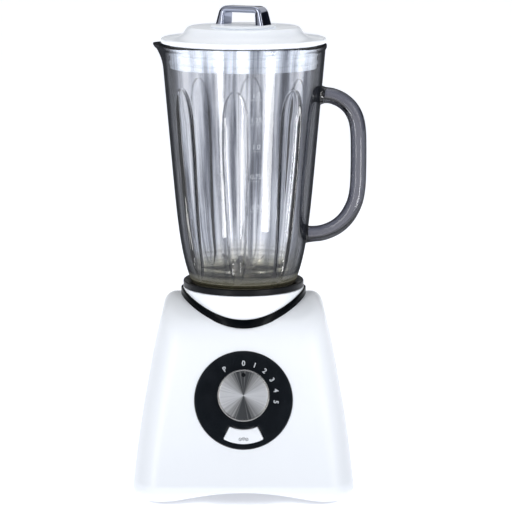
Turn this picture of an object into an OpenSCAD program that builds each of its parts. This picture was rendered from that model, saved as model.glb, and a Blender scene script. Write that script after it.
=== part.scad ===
// Countertop blender: glass jar with lid and filler cap, jar base with blades,
// and a motor base with a speed dial and an ice button.
// Millimetres, +Z up, front towards -Y. The origin lies on the counter, on the
// vertical axis that the jar, the blades and the motor share.

/* [Motor base] */
// width of the base near the counter
base_w = 184; // [150:1:210]
// depth of the base near the counter
base_d = 181.2; // [150:1:210]
// width of the base at the shoulders
shoulder_w = 135; // [124:1:150]
// height of the top of the base shell
shell_h = 165; // [150:1:180]
// radius of the arched top of the shell
arch_r = 80; // [72:1:100]
// backward lean of the front and rear panels, degrees
panel_tilt = 16; // [10:0.5:20]
// wall thickness of the shell
shell_wall = 3; // [2:0.1:4]
// plan radius of the shell corners
shell_corner = 25; // [15:1:35]
// radius of the arches under the front, rear and side edges
under_arch_r = 195; // [150:5:300]
// height of the underside of the shell at its corners
skirt_z = 2.5; // [2:0.5:6]
// outer radius of the round collar that holds the jar base
collar_r = 51.6; // [48:0.2:56]
// height of the top edge of the collar above the shell
collar_rise = 6; // [3:0.5:13]
// radius of each rubber foot
foot_r = 9; // [7:0.5:12]

/* [Controls] */
// height of the centre of the control disc
disc_z = 87; // [80:1:95]
// radius of the control disc
disc_r = 41.2; // [38:0.2:46]
// radius of the speed dial
dial_r = 21.5; // [17:0.5:24]
// distance the dial stands out from the disc
dial_h = 14; // [9:0.5:18]
// distance from the disc centre up to the dial centre
dial_up = 3.3; // [0:0.1:5]
// travel of the ice button
button_travel = 2; // [1:0.1:2.5]

/* [Jar] */
// outer radius of the jar wall just under the rim
jar_top_r = 69; // [56:0.5:84]
// height of the glass from the foot of the jar to its rim
jar_h = 203; // [150:0.5:250]
// outer radius of the jar at its foot
jar_foot_r = 39.4; // [37:0.2:44]
// thickness of the glass wall
glass_wall = 4.5; // [3.5:0.1:5.5]
// number of flute positions around the jar, with the handle and spout ones left plain
flute_count = 8; // [6:2:10]
// depth of each flute
flute_depth = 3; // [1.5:0.1:3.2]
// radius of the glass handle rod
handle_rod_r = 6.9; // [5.5:0.1:8]
// distance from the jar wall under the rim to the upright of the handle
handle_room = 29; // [24:0.5:40]
// turn of the jar about its axis, degrees
jar_turn = -6; // [-45:1:45]

/* [Lid] */
// distance the lid flange reaches past the jar wall
lid_overhang = 0.8; // [0:0.1:4]
// height of the lid plateau above its flange
lid_rise = 9.5; // [6:0.5:14]
// radius of the hole for the filler cap
filler_r = 24; // [18:0.5:28]
// overall width of the cap handle
cap_handle_w = 46.7; // [36:0.1:52]
// height of the cap handle
cap_handle_h = 15.6; // [12:0.2:24]
// turn of the filler cap about the jar axis, degrees
cap_turn = -30; // [-90:1:90]

/* [Blades] */
// radius swept by the lower pair of blades
lower_blade_r = 28; // [20:0.5:32]
// radius swept by the upper pair of blades
upper_blade_r = 22; // [16:0.5:28]
// thickness of the blade steel
blade_t = 1.6; // [1.2:0.1:2.5]

/* [Motor] */
// radius of the armature
armature_r = 21; // [17:0.5:23]
// half width of the square stator stack
stator_half = 37; // [32:0.5:40]
// radius of the motor shaft
shaft_r = 4; // [3:0.25:5]
// radius of the cooling fan
fan_r = 33; // [26:0.5:36]

/* [Hidden] */
$fn = 96;
round_fn = 32;
gap = 0.3;
running_gap = 0.05;

// shell: slope of the panels and the arc of the sides
panel_slope = tan(panel_tilt);
edge_r = 12;
shoulder_r = 8;
arch_z = shell_h - arch_r;
panel_y = 71.4 * base_d / 181.2;
disc_ref_z = 87;
panel_foot_z = 20;
side_bulge = 2.6;
under_arch_z = 12;
shell_levels = 4;
top_level_z = shell_h - 25;
crease_a = 42;
crease_in = 9;
arch_steps = 6;

function panel_half(z) = panel_y + (disc_ref_z - z) * panel_slope;
function side_t(z) = (z - panel_foot_z) / (shell_h - shoulder_r - panel_foot_z);
function side_half(z) = base_w / 2 + (shoulder_w / 2 - base_w / 2) * side_t(z)
    + 4 * side_bulge * side_t(z) * (1 - side_t(z));

// inside of the base
plate_w = base_w - 16;
plate_d = base_d - 16.2;
plate_z = 10;
plate_t = 3;
plate_corner = 18;
foot_x = plate_w / 2 - 15;
foot_y = plate_d / 2 - 30;
foot_h = 6;
base_screw_x = plate_w / 2 - 7;
rib_t = 4;
base_screw_y = 38;
base_screw_r = 1.9;
boss_r = 6;
boss_top = 32;
post_x = 43;
post_y = 38;
post_r = 5;
post_top = shell_h - 45;
damper_h = 3;
motor_plate_z = post_top + damper_h;
motor_plate_t = 3;
motor_plate_d = 90;
collar_wall = 3.2;
collar_z = shell_h + collar_rise;
well_z = shell_h - 23.3;
well_t = 3;
collar_low_z = min(well_z - well_t, arch_z + sqrt(pow(arch_r, 2) - pow(collar_r, 2)) - shell_wall);
collar_leg_r = 4.5;
collar_leg_x = collar_r - 13.6;
collar_leg_y = 20;
motor_plate_w = 2 * (max(collar_leg_x + post_r, post_x) + 7);
hub_hole_r = 13;

// motor
stator_z = 64;
stator_h = 38;
air_gap = 0.6;
coil_h = 9;
lower_bracket_z = 39;
lower_bracket_t = 3;
bearing_r = 11;
bearing_h = 7;
tie_at = 30;
tie_r = 1.9;
commutator_r = 10;
commutator_z = 47;
commutator_h = 11;
brush_z = 50;
brush_w = 5;
brush_l = 12;
fan_z = 20;
fan_h = 13;
fan_blades = 9;
shaft_top = well_z + 8.3;
lug_count = 6;
drive_r = 8.5;
driven_r = 14;
driven_z = well_z + 1.6;
driven_h = 8;

// controls
disc_t = 2.4;
disc_recess = 1.5;
button_in_r = dial_r + 6.3;
button_out_r = disc_r - 4.8;
button_half_a = 27.5;
button_top = 1.8;
button_face_t = 4;
button_flange_z = -5.5;
stem_r = 3;
stem_at = 4.1 - button_out_r;
lug_x = disc_r - 11.2;
lug_y = 8;
spring_end = -13.5;
switch_w = 26;
switch_t = 12;
switch_back = -19;
dial_wall = 2;
dial_foot = 1.5;
dial_shaft_r = 3;
dial_mark_r = 1.75;
dial_mark_at = dial_r - 3.6;

// jar
jar_foot_z = collar_z + 4.5;
jar_rim_z = jar_foot_z + jar_h;
jar_line_z = jar_rim_z - 5.9;
jar_steps = 12;
tuck_share = 12.6 / 29.6;
jar_tuck = tuck_share * (jar_top_r - jar_foot_r);
jar_taper = jar_top_r - jar_foot_r - jar_tuck;
jar_tuck_power = 7.2;
rim_bead = 1.5;
rim_z = jar_rim_z - 6;
neck_r = jar_foot_r - 2.9;
neck_in_r = neck_r - 8.5;
neck_z = jar_foot_z - 16.5;
flute_r = 12;
flute_low_z = jar_foot_z + 6.5;
flute_top_z = jar_rim_z - 44.5;
handle_reach = jar_top_r + handle_room;
handle_top_z = jar_rim_z - 43.5;
handle_low_z = jar_foot_z + 41.5;
handle_top_bend = 26;
handle_low_bend = min(40, handle_top_z - handle_top_bend - handle_low_z - 2);
spout_r = 14;
spout_h = 24;
spout_at = jar_top_r - 6;

function jar_t(z) = (jar_line_z - z) / (jar_line_z - jar_foot_z);
function jar_r(z) = jar_top_r - jar_taper * max(jar_t(z), 0)
    - jar_tuck * pow(max(jar_t(z), 0), jar_tuck_power);

// jar base and blades
jar_base_z = well_z + gap;
jar_base_rim_z = collar_z + 5.6;
jar_base_r = collar_r - collar_wall - 0.5;
holder_z = jar_base_z + 12;
holder_t = 3;
gasket_t = 2;
holder_r = neck_r - 2.5;
hub_r = 9;
hub_top = holder_z + 30;
blade_shaft_r = 4;
lower_blade_z = hub_top + 2;
upper_blade_z = lower_blade_z + blade_t;
blade_w = 13;
lower_dip = -8;
upper_rise = 42;

// lid
lid_z = jar_rim_z + 0.5;
lid_t = 4.3;
lid_r = jar_top_r + lid_overhang;
lid_skirt_r = jar_top_r - glass_wall - 2.5;
lid_skirt_z = lid_z - 20.5;
lid_wall = 3;
plateau_r = lid_skirt_r - 16;
cap_flange_z = lid_z + lid_t + lid_rise - 0.6;
cap_flange_r = filler_r + 3.5;
cap_flange_t = 2.2;
cap_wall = 2;
cap_low_z = lid_z - 17;
strap_t = 7;
strap_d = 17;
strap_corner = 8;

module at_panel() {
    translate([0, -panel_half(disc_z), disc_z]) rotate([90 - panel_tilt, 0, 0]) children();
}

module ring(r_out, r_in, z_low, z_high) {
    translate([0, 0, z_low]) difference() {
        cylinder(h = z_high - z_low, r = r_out);
        translate([0, 0, -1]) cylinder(h = z_high - z_low + 2, r = r_in);
    }
}

module rounded_plan(w, d, r) {
    square([w - 2 * r, d], center = true);
    square([w, d - 2 * r], center = true);
    for (sx = [-1, 1], sy = [-1, 1]) translate([sx * (w / 2 - r), sy * (d / 2 - r)]) circle(r);
}

module at_corners(x, y) {
    for (sx = [-1, 1], sy = [-1, 1]) translate([sx * x, sy * y, 0]) children();
}

module shell_form(inset) {
    hull() {
        at_corners(side_half(panel_foot_z) + 1 - shell_corner,
            panel_half(panel_foot_z) + 1 - shell_corner)
            translate([0, 0, skirt_z + edge_r]) rotate_extrude($fn = round_fn)
            translate([shell_corner - edge_r, 0]) circle(edge_r - inset, $fn = round_fn);
        for (i = [0 : shell_levels - 1])
            let (z = panel_foot_z + (top_level_z - panel_foot_z) * i / (shell_levels - 1))
            at_corners(side_half(z) - shell_corner, panel_half(z) - shell_corner)
            translate([0, 0, z]) cylinder(h = 0.1, r = shell_corner - inset, $fn = round_fn);
        for (i = [0 : arch_steps], s = [-1, 1])
            let (a = crease_a * (2 * i / arch_steps - 1))
            translate([s * (shoulder_w / 2 - shoulder_r - crease_in * pow(a / crease_a, 2)),
                (arch_r - shoulder_r) * sin(a), arch_z + (arch_r - shoulder_r) * cos(a)])
            sphere(shoulder_r - inset, $fn = round_fn);
    }
}

module body_shell() {
    boss_low = plate_z + plate_t + 0.2;
    rib_low = plate_z + plate_t + 2;
    wall_x = base_w / 2 - 2.5;
    color("white") difference() {
        union() {
            difference() {
                shell_form(0);
                shell_form(shell_wall);
                translate([0, 0, -1]) linear_extrude(plate_z + plate_t + 1.2)
                    rounded_plan(plate_w + 2 * gap, plate_d + 2 * gap, plate_corner);
            }
            at_corners(base_screw_x, base_screw_y) translate([0, 0, boss_low])
                cylinder(h = boss_top - boss_low, r = boss_r);
            at_corners((base_screw_x + wall_x) / 2, base_screw_y)
                translate([0, 0, (boss_top + rib_low) / 2])
                cube([wall_x - base_screw_x, rib_t, boss_top - rib_low], center = true);
        }
        translate([0, 0, well_z - 10]) cylinder(h = 60, r = collar_r + gap);
        translate([0, 0, under_arch_z - under_arch_r]) {
            rotate([90, 0, 0]) cylinder(h = 300, r = under_arch_r, center = true);
            rotate([0, 90, 0]) cylinder(h = 300, r = under_arch_r, center = true);
        }
        at_corners(base_screw_x, base_screw_y) translate([0, 0, plate_z])
            cylinder(h = 18, r = base_screw_r);
        at_panel() {
            translate([0, 0, -disc_recess]) cylinder(h = 20, r = disc_r + gap);
            translate([0, 0, -15]) cylinder(h = 20, r = disc_r - 3);
        }
        at_gland() translate([0, 0, -20]) cylinder(h = 40, r = gland_neck_r + running_gap);
    }
}

gland_x = 40;
gland_z = 30;
gland_neck_r = 7;
gland_bore_r = 3.6;
gland_flange_r = 10;
gland_out = 5;
gland_seat = 0.05;
gland_in = 4;

module at_gland() {
    translate([gland_x, panel_half(gland_z), gland_z]) rotate([panel_tilt - 90, 0, 0]) children();
}

module cord_gland() {
    color("dimgray") at_gland() difference() {
        union() {
            translate([0, 0, -shell_wall - gland_in])
                cylinder(h = shell_wall + gland_in + gland_out, r = gland_neck_r);
            translate([0, 0, gland_seat])
                cylinder(h = gland_out - gland_seat, r1 = gland_flange_r, r2 = gland_neck_r);
            translate([0, 0, -shell_wall - gland_in])
                cylinder(h = gland_in - gap, r = gland_flange_r);
        }
        translate([0, 0, -20]) cylinder(h = 40, r = gland_bore_r);
    }
}

module base_plate() {
    vent_w = 4;
    color("silver") difference() {
        union() {
            translate([0, 0, plate_z]) linear_extrude(plate_t)
                rounded_plan(plate_w, plate_d, plate_corner);
            at_corners(foot_x, foot_y) translate([0, 0, foot_h - 1])
                cylinder(h = plate_z - foot_h + 2, r = foot_r + 1);
            at_corners(post_x, post_y) translate([0, 0, plate_z])
                cylinder(h = post_top - plate_z, r = post_r);
        }
        at_corners(foot_x, foot_y) translate([0, 0, -1]) cylinder(h = foot_h + 1, r = foot_r + 0.02);
        at_corners(foot_x, foot_y) cylinder(h = 40, r = 3.02);
        at_corners(base_screw_x, base_screw_y) cylinder(h = 40, r = base_screw_r + 0.2);
        for (i = [-3 : 3]) translate([i * 2.2 * vent_w - vent_w / 2, -fan_r + abs(i) * 3, 0])
            cube([vent_w, 2 * (fan_r - abs(i) * 3), 40]);
    }
}

module foot() {
    color("dimgray") at_corners(foot_x, foot_y) {
        cylinder(h = foot_h, r = foot_r);
        cylinder(h = plate_z + plate_t + 1, r = 3);
        translate([0, 0, plate_z + plate_t]) cylinder(h = 2, r1 = 4.4, r2 = 3);
    }
}

module base_screw() {
    color("gray") at_corners(base_screw_x, base_screw_y) {
        translate([0, 0, plate_z - 2.4]) cylinder(h = 2.4, r = 3.6);
        translate([0, 0, plate_z - 1]) cylinder(h = 17, r = base_screw_r - 0.02);
    }
}

module collar() {
    color("white") difference() {
        union() {
            ring(collar_r, collar_r - collar_wall, collar_low_z, collar_z);
            ring(collar_r, hub_hole_r, well_z - well_t, well_z);
            at_corners(collar_leg_x, collar_leg_y) translate([0, 0, motor_plate_z + motor_plate_t])
                cylinder(h = well_z - well_t - motor_plate_z - motor_plate_t + 0.5, r = collar_leg_r);
        }
        at_corners(collar_leg_x, collar_leg_y) translate([0, 0, motor_plate_z])
            cylinder(h = 12, r = 1.9);
    }
}

module collar_trim() {
    trim_r = collar_r + 1.9;
    upper_r = 99.4;
    color("black") intersection() {
        difference() {
            ring(trim_r, collar_r + 0.05, collar_low_z - 3, collar_z);
            translate([0, 0, arch_z]) rotate([0, 90, 0]) cylinder(h = 300, r = arch_r + 0.1, center = true);
        }
        translate([0, 0, shell_h + 1.4 - upper_r]) rotate([0, 90, 0])
            cylinder(h = 300, r = upper_r, center = true);
    }
}

module collar_screw() {
    color("gray") at_corners(collar_leg_x, collar_leg_y) {
        translate([0, 0, motor_plate_z - 2]) cylinder(h = 2, r = 3.4);
        translate([0, 0, motor_plate_z - 1]) cylinder(h = 12, r = 1.88);
    }
}

module motor_plate() {
    color("silver") difference() {
        union() {
            translate([0, 0, motor_plate_z]) linear_extrude(motor_plate_t)
                rounded_plan(motor_plate_w, motor_plate_d, 12);
            translate([0, 0, motor_plate_z - bearing_h + 1]) cylinder(h = bearing_h, r = bearing_r + 3);
        }
        translate([0, 0, motor_plate_z - bearing_h]) cylinder(h = bearing_h + 1, r = bearing_r + 0.01);
        cylinder(h = 200, r = shaft_r + 2.5);
        at_corners(collar_leg_x, collar_leg_y) cylinder(h = 200, r = 2.1);
        at_corners(post_x, post_y) cylinder(h = 200, r = 2.5);
        at_ties() cylinder(h = 200, r = tie_r + 0.1);
        for (s = [-1, 1]) translate([0, s * 30, motor_plate_z - 1])
            linear_extrude(10) rounded_plan(24, 10, 4);
    }
}

module motor_damper() {
    color("dimgray") at_corners(post_x, post_y) {
        ring(post_r + 2.5, 2.4, post_top, post_top + damper_h);
        ring(post_r + 1.5, 2.4, motor_plate_z + motor_plate_t, motor_plate_z + motor_plate_t + 2);
        translate([0, 0, post_top]) cylinder(h = damper_h + motor_plate_t + 3, r = 2.4);
    }
}

module at_ties() {
    for (s = [-1, 1]) translate([s * tie_at, -s * tie_at, 0]) children();
}

module lower_bracket() {
    color("silver") difference() {
        union() {
            translate([0, 0, lower_bracket_z]) linear_extrude(lower_bracket_t) rounded_plan(24, 74, 10);
            translate([0, 0, lower_bracket_z]) rotate([0, 0, -45]) linear_extrude(lower_bracket_t)
                rounded_plan(2 * tie_at * sqrt(2) + 12, 16, 6);
            translate([0, 0, lower_bracket_z - 4]) cylinder(h = bearing_h, r = bearing_r + 3);
        }
        translate([0, 0, lower_bracket_z - 5]) cylinder(h = bearing_h, r = bearing_r + 0.01);
        cylinder(h = 80, r = shaft_r + 2.5);
        at_ties() cylinder(h = 200, r = tie_r + 0.1);
    }
}

module stator() {
    color("gray") translate([0, 0, stator_z]) difference() {
        linear_extrude(stator_h) difference() {
            rounded_plan(2 * stator_half, 2 * stator_half, 14);
            circle(armature_r + air_gap);
            for (s = [-1, 1]) difference() {
                translate([s * 16, 0]) square([26, 46], center = true);
                circle(armature_r + air_gap + 4);
            }
        }
        at_ties() translate([0, 0, -1]) cylinder(h = 100, r = tie_r + 0.1);
    }
}

module field_coil() {
    color("peru") for (s = [-1, 1]) {
        translate([s * 27.3, 0, stator_z - coil_h]) linear_extrude(stator_h + 2 * coil_h)
            square([3, 34], center = true);
        for (z = [stator_z - coil_h, stator_z + stator_h + 0.2])
            translate([s * 27, 0, z]) linear_extrude(coil_h - 0.2)
            rounded_plan(8, 44, 3.5);
    }
}

module motor_screw() {
    color("gray") at_ties() {
        translate([0, 0, lower_bracket_z - 3]) cylinder(h = 3, r = 3.6);
        translate([0, 0, lower_bracket_z - 1])
            cylinder(h = motor_plate_z + motor_plate_t + 3 - lower_bracket_z, r = tie_r);
        translate([0, 0, motor_plate_z + motor_plate_t]) cylinder(h = 2.4, r = 3.6, $fn = 6);
        ring(4, tie_r, lower_bracket_z + lower_bracket_t, stator_z);
        ring(4, tie_r, stator_z + stator_h, motor_plate_z);
    }
}

module upper_bearing() {
    color("silver")
        ring(bearing_r, shaft_r + running_gap, motor_plate_z - bearing_h + 1.1, motor_plate_z + 0.9);
}

module lower_bearing() {
    color("silver")
        ring(bearing_r, shaft_r + running_gap, lower_bracket_z - 4, lower_bracket_z + 1.9);
}

module brush_holder() {
    stand_h = brush_z + brush_w / 2 - lower_bracket_z - lower_bracket_t;
    color("gray") for (s = [-1, 1]) translate([0, s * 21, brush_z + brush_w / 2]) difference() {
        union() {
            cube([brush_w + 3, 16, brush_w + 3], center = true);
            translate([0, 0, -stand_h / 2]) cube([brush_w + 3, 10, stand_h], center = true);
        }
        cube([brush_w + 0.1, 40, brush_w + 0.1], center = true);
    }
}

module brush() {
    color("black") for (s = [-1, 1]) difference() {
        translate([0, s * (commutator_r + running_gap + brush_l / 2), brush_z + brush_w / 2])
            cube([brush_w, brush_l + 1, brush_w], center = true);
        translate([0, 0, commutator_z - 5]) cylinder(h = 40, r = commutator_r + running_gap);
    }
}

module armature() {
    slot_n = 12;
    color("gray") translate([0, 0, stator_z]) linear_extrude(stator_h) difference() {
        circle(armature_r);
        circle(shaft_r);
        for (i = [0 : slot_n - 1]) rotate(i * 360 / slot_n) translate([armature_r - 4, 0])
            square([9, 3], center = true);
    }
}

module armature_coil() {
    turn_h = coil_h - 3;
    color("peru") for (z = [stator_z - turn_h, stator_z + stator_h]) translate([0, 0, z])
        rotate_extrude() translate([shaft_r + 0.05, 0]) square([armature_r - shaft_r - 4, turn_h]);
}

module commutator() {
    bar_n = 24;
    color("peru") difference() {
        ring(commutator_r, shaft_r, commutator_z, commutator_z + commutator_h - 3);
        for (i = [0 : bar_n - 1]) rotate(i * 360 / bar_n) translate([commutator_r, 0, commutator_z])
            cube([1.2, 0.5, 40], center = true);
    }
}

module motor_shaft() {
    color("silver") translate([0, 0, fan_z - 2]) cylinder(h = shaft_top - fan_z - 2, r = shaft_r);
}

module fan() {
    color("dimgray") {
        ring(9, shaft_r, fan_z, fan_z + fan_h);
        ring(fan_r, shaft_r, fan_z + fan_h - 1.8, fan_z + fan_h);
        for (i = [0 : fan_blades - 1]) rotate(i * 360 / fan_blades) translate([8, -0.8, fan_z])
            cube([fan_r - 9, 1.6, fan_h]);
    }
}

module lobes(r, n, lobe_r) {
    circle(r - lobe_r);
    for (i = [0 : n - 1]) rotate(i * 360 / n) translate([r - lobe_r, 0]) circle(lobe_r);
}

module drive_coupling() {
    color("black") difference() {
        union() {
            translate([0, 0, driven_z - 4]) cylinder(h = 3.4, r = hub_hole_r - 1.5);
            translate([0, 0, driven_z - 1]) linear_extrude(driven_h - 1) lobes(drive_r, lug_count, 2.6);
        }
        translate([0, 0, driven_z - 10]) cylinder(h = shaft_top - 4 - driven_z + 10, r = shaft_r);
    }
}

module driven_coupling() {
    color("black") difference() {
        translate([0, 0, driven_z]) cylinder(h = driven_h + 2, r = driven_r);
        translate([0, 0, driven_z - 1]) linear_extrude(driven_h) lobes(drive_r + 0.4, lug_count, 3);
        translate([0, 0, driven_z]) cylinder(h = 40, r = blade_shaft_r);
    }
}

module circuit_board() {
    color("green") translate([0, plate_d / 2 - 20.5, plate_z + plate_t]) {
        for (s = [-1, 1]) translate([s * 20, 0, 0]) cylinder(h = 6, r = 3);
        translate([-26, -10, 6]) cube([52, 20, 1.6]);
        translate([-20, -7, 7.5]) cube([12, 14, 9]);
        translate([4, 0, 7.5]) cylinder(h = 14, r = 5);
        translate([14, -6, 7.5]) cube([8, 12, 6]);
    }
}

module button_plan(grow) {
    reach = 60;
    half_a = button_half_a + grow * 1.8;
    intersection() {
        difference() {
            circle(button_out_r + grow);
            translate([0, dial_up]) circle(button_in_r - grow);
        }
        polygon([[0, 0], [-reach * sin(half_a), -reach * cos(half_a)],
            [reach * sin(half_a), -reach * cos(half_a)]]);
    }
}

module control_disc() {
    color("black") at_panel() difference() {
        union() {
            translate([0, 0, -disc_recess]) cylinder(h = disc_t, r = disc_r);
            translate([0, 0, -shell_wall - 1]) ring(disc_r - 3.4, disc_r - 6, 0, shell_wall);
            translate([0, dial_up, -8]) ring(12, 5, 0, 7);
            for (s = [-1, 1]) translate([s * lug_x, lug_y, -9]) cylinder(h = 8, r = 3.2);
        }
        translate([0, 0, -6]) linear_extrude(12) button_plan(gap);
        translate([0, 0, -6]) linear_extrude(6 - disc_recess - 0.1) button_plan(1.6);
        translate([0, dial_up, -20]) cylinder(h = 40, r = dial_shaft_r + running_gap);
        for (s = [-1, 1]) translate([s * lug_x, lug_y, -10]) cylinder(h = 8, r = 1.4);
    }
}

module control_screw() {
    color("gray") at_panel() for (s = [-1, 1]) translate([s * lug_x, lug_y, -9]) {
        translate([0, 0, -3.6]) cylinder(h = 2, r = 3);
        translate([0, 0, -2.6]) cylinder(h = 9, r = 1.38);
    }
}

module rotary_switch() {
    color("tan") at_panel() difference() {
        union() {
            translate([-switch_w / 2, dial_up - switch_w / 2, switch_back])
                cube([switch_w, switch_w, switch_t - 1]);
            translate([0, lug_y, -9.8]) difference() {
                cube([2 * lug_x + 8, 10, 1.6], center = true);
                for (s = [-1, 1]) translate([s * lug_x, 0, -5]) cylinder(h = 10, r = 1.5);
            }
            for (i = [-1 : 1]) translate([i * 7 - 2, dial_up - 2, switch_back - 5])
                cube([4, 0.8, 6]);
            translate([-switch_w / 2 + 2, dial_up - 8, -10.6]) cube([switch_w - 4, 16, 2.5]);
        }
        translate([0, dial_up, switch_back + 4]) cylinder(h = 40, r = dial_shaft_r + running_gap);
    }
}

module button_switch() {
    foot_z = -25;
    hook_y = dial_up - switch_w / 2 - 2;
    color("tan") at_panel() {
        translate([-9, stem_at - 4, foot_z]) cube([18, 8, spring_end - 0.2 - foot_z]);
        translate([-6, stem_at, foot_z]) cube([12, hook_y + 1 - stem_at, 3]);
        translate([-5, hook_y, foot_z]) cube([10, 6, 6]);
    }
}

module switch_shaft() {
    color("silver") at_panel() translate([0, dial_up, switch_back + 4.2])
        cylinder(h = dial_foot + dial_h - 9.4 - switch_back, r = dial_shaft_r);
}

module dial_body() {
    color("silver") at_panel() translate([0, dial_up, dial_foot]) difference() {
        union() {
            ring(dial_r, dial_r - dial_wall, 0, dial_h);
            translate([0, 0, dial_h - 4]) cylinder(h = 2.6, r = dial_r - 1);
            cylinder(h = dial_h - 2, r = 6);
        }
        translate([0, 0, -1]) cylinder(h = dial_h - 3.9, r = dial_shaft_r);
    }
}

module dial_face() {
    color("silver") at_panel() translate([0, dial_up, dial_foot + dial_h - 1.4]) difference() {
        cylinder(h = 1.2, r = dial_r - dial_wall - 0.02);
        translate([0, dial_mark_at - dial_mark_r, 0.5]) cylinder(h = 2, r = dial_mark_r);
    }
}

module dial_mark() {
    color("black") at_panel()
        translate([0, dial_up + dial_mark_at - dial_mark_r, dial_foot + dial_h - 0.88])
        cylinder(h = 0.7, r = dial_mark_r - 0.01);
}

module ice_button() {
    color("white") at_panel() {
        translate([0, 0, button_top - button_face_t]) linear_extrude(button_face_t) button_plan(0);
        translate([0, 0, button_flange_z]) linear_extrude(3.4) intersection() {
            button_plan(1.2);
            translate([0, stem_at]) square([60, 8], center = true);
        }
        translate([0, stem_at, -9]) cylinder(h = 5, r = stem_r);
    }
}

module button_spring() {
    turns = 4;
    wire_r = 0.45;
    coil_r = stem_r + 0.2 + wire_r;
    pitch = (button_flange_z - spring_end - 2 * wire_r) / turns;
    color("silver") at_panel() translate([0, stem_at, spring_end + wire_r]) {
        for (i = [0 : turns]) translate([0, 0, i * pitch])
            rotate_extrude() translate([coil_r, 0]) circle(wire_r, $fn = 16);
        for (i = [0 : turns - 1]) rotate(i * 90) translate([coil_r, 0, i * pitch])
            cylinder(h = pitch, r = wire_r, $fn = 16);
    }
}

module jar_outside() {
    rise = (rim_z - jar_foot_z) / jar_steps;
    rotate_extrude() polygon(concat(
        [[0, neck_z], [neck_r, neck_z], [neck_r, jar_foot_z - 3],
            [jar_foot_r - 1, jar_foot_z - 2]],
        [for (i = [0 : jar_steps]) let (z = jar_foot_z + i * rise) [jar_r(z), z]],
        [[jar_top_r + rim_bead, rim_z + 1.5], [jar_top_r + rim_bead, jar_rim_z - 1],
            [jar_top_r + 0.5, jar_rim_z], [0, jar_rim_z]]));
}

module jar_inside() {
    floor_z = jar_foot_z - 6;
    start_z = jar_foot_z + 2;
    rise = (rim_z - start_z) / jar_steps;
    rotate_extrude() polygon(concat(
        [[0, neck_z - 1], [neck_in_r, neck_z - 1], [neck_in_r, floor_z],
            [neck_in_r + 4, floor_z + 3]],
        [for (i = [0 : jar_steps]) let (z = start_z + i * rise) [jar_r(z) - glass_wall, z]],
        [[jar_top_r - glass_wall + 0.5, jar_rim_z + 1], [0, jar_rim_z + 1]]));
}

module at_flutes() {
    aim_z = jar_foot_z + 45;
    lean = atan((jar_r(flute_top_z) - jar_r(aim_z)) / (flute_top_z - aim_z));
    for (i = [0 : flute_count - 1]) if (i % (flute_count / 2) != 0)
        rotate([0, 0, i * 360 / flute_count])
        translate([jar_r(flute_top_z) + flute_r - flute_depth, 0, flute_top_z])
        rotate([0, lean, 0]) children();
}

module at_spout() {
    translate([-spout_at, 0, jar_rim_z - spout_h]) children();
}

module jar_glass() {
    flute_h = flute_top_z - flute_low_z;
    color("lightblue") rotate([0, 0, jar_turn]) difference() {
        union() {
            difference() {
                union() {
                    jar_outside();
                    at_spout() translate([0, 0, -1]) cylinder(h = spout_h, r1 = 3, r2 = spout_r);
                }
                jar_inside();
                at_spout() translate([0, 0, 2]) cylinder(h = spout_h, r1 = 2, r2 = spout_r - 1.6);
            }
            intersection() {
                jar_outside();
                at_flutes() translate([0, 0, -flute_h]) cylinder(h = flute_h, r = flute_r + 3);
            }
        }
        at_flutes() {
            translate([0, 0, -flute_h]) cylinder(h = flute_h, r = flute_r);
            sphere(flute_r);
        }
    }
}

module handle_stub(z, bend) {
    out = handle_reach - bend;
    translate([out, 0, z]) rotate([0, -90, 0])
        cylinder(h = out - jar_r(z) + glass_wall / 2, r = handle_rod_r);
}

module handle_bend(z, bend, turn) {
    translate([handle_reach - bend, 0, z]) rotate([90, 0, 0])
        rotate_extrude(angle = turn) translate([bend, 0]) circle(handle_rod_r);
}

module jar_handle() {
    top_z = handle_top_z - handle_top_bend;
    low_z = handle_low_z + handle_low_bend;
    color("lightblue") rotate([0, 0, jar_turn]) difference() {
        union() {
            handle_stub(handle_top_z, handle_top_bend);
            handle_bend(top_z, handle_top_bend, 90);
            translate([handle_reach, 0, low_z]) cylinder(h = top_z - low_z, r = handle_rod_r);
            handle_bend(low_z, handle_low_bend, -90);
            handle_stub(handle_low_z, handle_low_bend);
        }
        jar_outside();
    }
}

module jar_base() {
    thread_r = neck_r + 0.1;
    seat_z = holder_z + holder_t + gasket_t;
    color("black") rotate_extrude() polygon([
        [26, jar_base_z], [jar_base_r, jar_base_z], [jar_base_r, collar_z + gap],
        [collar_r - 0.2, collar_z + gap],
        [collar_r - 0.2, jar_base_rim_z - 1], [collar_r - 1.2, jar_base_rim_z],
        [jar_base_r + 1, jar_base_rim_z],
        [thread_r + 1.5, jar_foot_z - 3], [thread_r, jar_foot_z - 3.5], [thread_r, seat_z],
        [holder_r + 0.1, seat_z - 0.5], [holder_r + 0.1, holder_z], [26, holder_z]]);
}

module jar_gasket() {
    seat_z = holder_z + holder_t;
    color("white") ring(holder_r - 0.1, neck_in_r, seat_z, seat_z + gasket_t);
}

module blade_holder() {
    color("silver") difference() {
        union() {
            ring(holder_r, 6, holder_z, holder_z + holder_t);
            translate([0, 0, holder_z]) cylinder(h = hub_top - 10 - holder_z, r1 = 25, r2 = 12);
            translate([0, 0, holder_z]) cylinder(h = hub_top - holder_z, r = hub_r);
        }
        translate([0, 0, holder_z - 1]) cylinder(h = 60, r = 6);
        translate([0, 0, holder_z - 1]) cylinder(h = 14, r1 = 22, r2 = 9);
    }
}

module blade_bush() {
    color("peru") ring(5.98, blade_shaft_r + running_gap, holder_z, hub_top - 1);
}

module blade_shaft() {
    low_z = driven_z + driven_h - 1;
    color("silver") translate([0, 0, low_z])
        cylinder(h = upper_blade_z + 6.5 - low_z, r = blade_shaft_r - 0.02);
}

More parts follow.
